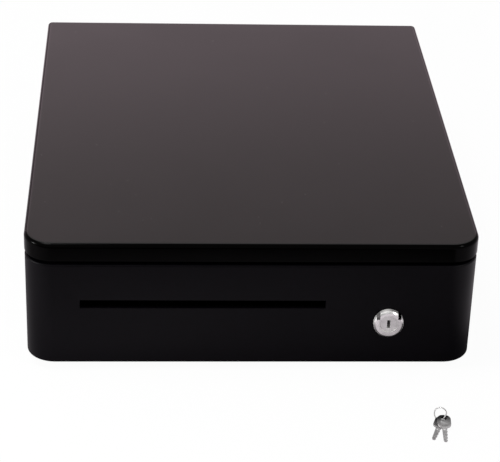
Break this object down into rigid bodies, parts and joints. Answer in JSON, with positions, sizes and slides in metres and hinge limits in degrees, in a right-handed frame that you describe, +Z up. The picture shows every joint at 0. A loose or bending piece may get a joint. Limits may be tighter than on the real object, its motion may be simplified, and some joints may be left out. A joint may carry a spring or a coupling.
{
  "type": "cash drawer",
  "caption": "Low black cash drawer with rounded front corners, a media slot, a bright cam lock, a rolling drawer with a note and coin till, and keys lying in front.",
  "frame": {"origin": "on the floor, at the centre of the four fixing holes through the feet", "axes": "+X right seen from the front, +Y towards the back, +Z up; the drawer opens towards -Y"},
  "size_m": [0.34, 0.5108, 0.11],
  "materials": {
    "cover_coat": "satin powder coat",
    "pan_coat": "satin powder coat",
    "front_shell": "satin",
    "zinc_steel": "zinc plated",
    "spring_steel": "bare wire",
    "nickel": "bright nickel plate",
    "key_steel": "nickel plated, worn",
    "nylon": "natural nylon",
    "foot_rubber": "matte",
    "black_plastic": "fine grain",
    "grey_plastic": "fine grain",
    "copper": "enamelled copper wire",
    "lead_jacket": "soft jacket",
    "red_plastic": "moulded"
  },
  "bodies": {
    "housing": {"base_pan": "pan_coat", "rear_panel": "pan_coat", "top_cover": "cover_coat", "cover_screws": "zinc_steel", "left_rail": "zinc_steel", "right_rail": "zinc_steel", "rail_rivets": "zinc_steel", "front_roller_pins": "zinc_steel", "feet": "foot_rubber", "latch_bracket": "zinc_steel", "bracket_screws": "zinc_steel", "latch_pin": "zinc_steel", "solenoid_frame": "zinc_steel", "solenoid_bobbin": "nylon", "solenoid_winding": "copper", "latch_spring": "spring_steel", "switch_body": "black_plastic", "cable_socket": "black_plastic", "solenoid_lead": "lead_jacket", "ejector_posts": "nylon", "ejector_spring_left": "spring_steel", "ejector_spring_right": "spring_steel"},
    "drawer": {"drawer_front": "front_shell", "front_screws": "zinc_steel", "drawer_box": "zinc_steel", "left_runner": "zinc_steel", "right_runner": "zinc_steel", "rear_roller_pins": "zinc_steel", "media_chute": "black_plastic", "lock_body": "nickel", "lock_nut": "zinc_steel", "latch_striker": "zinc_steel", "till_tray": "black_plastic", "divider_left": "grey_plastic", "divider_middle": "grey_plastic", "divider_right": "grey_plastic", "coin_cups": "grey_plastic", "clip_pins": "zinc_steel", "clip_springs": "spring_steel"},
    "front_roller_left": {"front_roller_left": "nylon"},
    "front_roller_right": {"front_roller_right": "nylon"},
    "rear_roller_left": {"rear_roller_left": "nylon"},
    "rear_roller_right": {"rear_roller_right": "nylon"},
    "lock_barrel": {"lock_plug": "nickel", "lock_cam": "zinc_steel", "cam_screw": "zinc_steel"},
    "latch": {"latch_lever": "zinc_steel"},
    "plunger": {"solenoid_plunger": "zinc_steel", "link_pin": "zinc_steel"},
    "switch": {"switch_button": "red_plastic"},
    "note_clip_1": {"note_clip_1": "black_plastic"},
    "note_clip_2": {"note_clip_2": "black_plastic"},
    "note_clip_3": {"note_clip_3": "black_plastic"},
    "note_clip_4": {"note_clip_4": "black_plastic"},
    "keys": {"key_ring": "nickel", "key_left": "key_steel", "key_right": "key_steel"}
  },
  "joints": [
    {"name": "drawer_slide", "type": "slide", "parent": "housing", "child": "drawer", "axis": [0, -1, 0], "range_m": [0, 0.29], "deforming": ["ejector_spring_left", "ejector_spring_right"]},
    {"name": "lock_turn", "type": "hinge", "parent": "drawer", "child": "lock_barrel", "pos_m": [0.1036, -0.2078, 0.0438], "axis": [0, 1, 0], "range_deg": [0, 90]},
    {"name": "latch_turn", "type": "hinge", "parent": "housing", "child": "latch", "pos_m": [0.045, 0.1842, 0.052], "axis": [0, 1, 0], "range_deg": [0, 12], "stiffness_Nm_per_rad": 0.06, "springref_deg": -17.19, "deforming": ["latch_spring"]},
    {"name": "plunger_slide", "type": "slide", "parent": "housing", "child": "plunger", "axis": [0, 0, -1], "range_m": [0, 0.0065]},
    {"name": "switch_press", "type": "slide", "parent": "housing", "child": "switch", "axis": [0, 0, 1], "range_m": [0, 0.002]},
    {"name": "front_roller_left_spin", "type": "hinge", "parent": "housing", "child": "front_roller_left", "pos_m": [-0.1595, -0.164, 0.044], "axis": [1, 0, 0], "continuous": true},
    {"name": "rear_roller_left_spin", "type": "hinge", "parent": "drawer", "child": "rear_roller_left", "pos_m": [-0.1577, 0.152, 0.0433], "axis": [1, 0, 0], "continuous": true},
    {"name": "front_roller_right_spin", "type": "hinge", "parent": "housing", "child": "front_roller_right", "pos_m": [0.1595, -0.164, 0.044], "axis": [1, 0, 0], "continuous": true},
    {"name": "rear_roller_right_spin", "type": "hinge", "parent": "drawer", "child": "rear_roller_right", "pos_m": [0.1577, 0.152, 0.0433], "axis": [1, 0, 0], "continuous": true},
    {"name": "note_clip_1_lift", "type": "hinge", "parent": "drawer", "child": "note_clip_1", "pos_m": [-0.1104, 0.15, 0.082], "axis": [-1, 0, 0], "range_deg": [0, 36], "stiffness_Nm_per_rad": 0.05, "springref_deg": -34.38, "deforming": ["clip_springs"]},
    {"name": "note_clip_2_lift", "type": "hinge", "parent": "drawer", "child": "note_clip_2", "pos_m": [-0.0368, 0.15, 0.082], "axis": [-1, 0, 0], "range_deg": [0, 36], "stiffness_Nm_per_rad": 0.05, "springref_deg": -34.38, "deforming": ["clip_springs"]},
    {"name": "note_clip_3_lift", "type": "hinge", "parent": "drawer", "child": "note_clip_3", "pos_m": [0.0368, 0.15, 0.082], "axis": [-1, 0, 0], "range_deg": [0, 36], "stiffness_Nm_per_rad": 0.05, "springref_deg": -34.38, "deforming": ["clip_springs"]},
    {"name": "note_clip_4_lift", "type": "hinge", "parent": "drawer", "child": "note_clip_4", "pos_m": [0.1104, 0.15, 0.082], "axis": [-1, 0, 0], "range_deg": [0, 36], "stiffness_Nm_per_rad": 0.05, "springref_deg": -34.38, "deforming": ["clip_springs"]},
    {"name": "keys_slide", "type": "slide", "parent": "housing", "child": "keys", "axis": [0, -1, 0], "range_m": [0, 0.15]}
  ],
  "couplings": [
    {"joint": "plunger_slide", "follows": "latch_turn", "m_per_rad": 0.0308},
    {"joint": "switch_press", "follows": "latch_turn", "m_per_rad": 0.0092},
    {"joint": "front_roller_left_spin", "follows": "drawer_slide", "rad_per_m": 125},
    {"joint": "rear_roller_left_spin", "follows": "drawer_slide", "rad_per_m": 125},
    {"joint": "front_roller_right_spin", "follows": "drawer_slide", "rad_per_m": 125},
    {"joint": "rear_roller_right_spin", "follows": "drawer_slide", "rad_per_m": 125}
  ]
}
